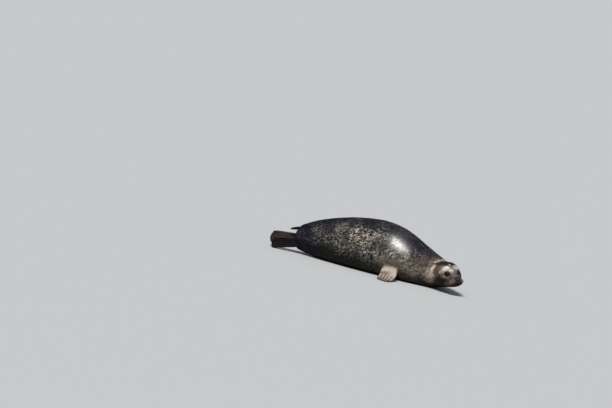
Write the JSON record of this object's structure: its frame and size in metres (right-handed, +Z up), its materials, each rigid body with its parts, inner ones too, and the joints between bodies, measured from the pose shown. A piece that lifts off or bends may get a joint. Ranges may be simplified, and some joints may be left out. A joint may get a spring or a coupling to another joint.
{
  "type": "harbor seal",
  "caption": "Still life-size harbor seal lying on its belly, head turned to its right, fore flippers laid on the floor and hind flippers trailing together.",
  "frame": {"origin": "middle of the footprint box, on the floor under the belly", "axes": "+X along the trunk towards the head, +Y towards the seal's left, +Z up"},
  "size_m": [1.529, 0.7656, 0.357],
  "materials": {
    "coat": "short sleek fur, dark charcoal with fine pale rings and flecks, paler on the face and fore flippers",
    "eye": "very dark brown, wet and glossy",
    "nose": "bare dark skin, damp",
    "claw": "dark horn, semi-gloss",
    "whisker": "pale translucent horn"
  },
  "bodies": {
    "root": {"muzzle": "coat", "lower_jaw": "coat", "head": "coat", "neck": "coat", "chest": "coat", "trunk": "coat", "rump": "coat", "tail": "coat", "fore_flipper_left": "coat", "fore_flipper_right": "coat", "hind_flipper_left": "coat", "hind_flipper_right": "coat", "eye_left": "eye", "eye_right": "eye"}
  },
  "joints": []
}
